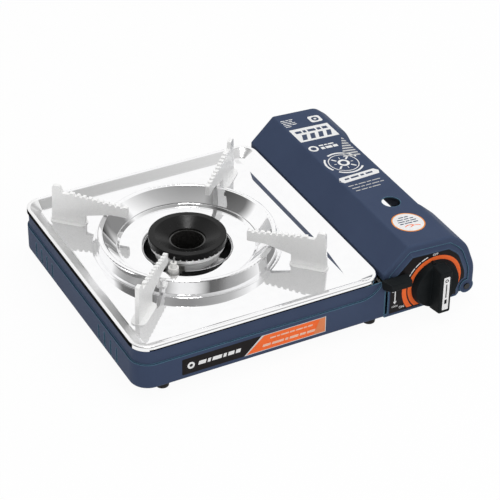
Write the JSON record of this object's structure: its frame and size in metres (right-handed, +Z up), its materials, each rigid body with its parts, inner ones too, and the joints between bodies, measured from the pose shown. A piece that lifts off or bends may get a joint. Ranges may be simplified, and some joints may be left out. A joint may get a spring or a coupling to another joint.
{
  "type": "portable gas stove",
  "caption": "Low tabletop gas stove: a square steel chamber with a round burner, drip tray and raised pan supports, beside a cartridge bay under a hinged cover.",
  "frame": {"origin": "on the ground, in the middle of the overall length and depth", "axes": "+X from the burner chamber to the cartridge bay, +Y from the control knob to the back, +Z up"},
  "size_m": [0.3486, 0.2866, 0.0845],
  "materials": {
    "housing_paint": "satin dark blue enamel",
    "cover_paint": "satin dark blue enamel",
    "label_film": "printed black film",
    "tray_mirror": "mirror finish",
    "support_enamel": "satin light grey",
    "burner_enamel": "matte black enamel",
    "burner_alloy": "cast, machined rim",
    "regulator_alloy": "die cast",
    "tube_aluminium": "drawn",
    "inner_steel": "zinc plated",
    "fastener_steel": "zinc plated",
    "jet_brass": "turned",
    "igniter_ceramic": "glazed white",
    "control_plastic": "black, fine grain",
    "lead_jacket": "soft insulation",
    "seal_rubber": "black",
    "foot_rubber": "black"
  },
  "bodies": {
    "housing": {"body_shell": "housing_paint", "front_panel": "housing_paint", "rear_panel": "housing_paint", "bay_partition": "inner_steel", "cartridge_cradle": "inner_steel", "control_label": "label_film", "regulator_body": "regulator_alloy", "regulator_cover": "inner_steel", "regulator_screws": "fastener_steel", "cartridge_seal": "seal_rubber", "gas_jet": "jet_brass", "mixing_tube": "tube_aluminium", "burner_head": "burner_alloy", "burner_cap": "burner_enamel", "burner_bracket": "inner_steel", "burner_screws": "fastener_steel", "igniter_ceramic": "igniter_ceramic", "igniter_electrode": "fastener_steel", "igniter_clip": "inner_steel", "piezo_unit": "control_plastic", "ignition_lead": "lead_jacket", "feet": "foot_rubber", "foot_screws": "fastener_steel", "panel_screws": "fastener_steel", "hinge_pins": "fastener_steel", "lever_pivot_pin": "fastener_steel", "pusher_studs": "fastener_steel"},
    "cover": {"cartridge_cover": "cover_paint"},
    "tray": {"drip_tray": "tray_mirror", "pan_support_fl": "support_enamel", "pan_support_fr": "support_enamel", "pan_support_rl": "support_enamel", "pan_support_rr": "support_enamel"},
    "knob": {"control_knob": "control_plastic", "valve_stem": "inner_steel"},
    "lever": {"lever_arm": "inner_steel", "lever_handle": "control_plastic"},
    "pusher": {"cartridge_pusher": "inner_steel"}
  },
  "joints": [
    {"name": "cover_hinge", "type": "hinge", "parent": "housing", "child": "cover", "pos_m": [0.1669, 0.01, 0.0133], "axis": [0, 1, 0], "range_deg": [0, 95]},
    {"name": "knob_turn", "type": "hinge", "parent": "housing", "child": "knob", "pos_m": [0.1287, -0.124, 0.0312], "axis": [0, -1, 0], "range_deg": [0, 120]},
    {"name": "lever_swing", "type": "hinge", "parent": "housing", "child": "lever", "pos_m": [0.0778, -0.107, 0.03], "axis": [1, 0, 0], "range_deg": [0, 64]},
    {"name": "pusher_slide", "type": "slide", "parent": "housing", "child": "pusher", "axis": [0, -1, 0], "range_m": [0, 0.00848]},
    {"name": "tray_lift", "type": "slide", "parent": "housing", "child": "tray", "axis": [0, 0, 1], "range_m": [0, 0.06]}
  ],
  "couplings": [
    {"joint": "lever_swing", "follows": "pusher_slide", "rad_per_m": 131.72}
  ]
}
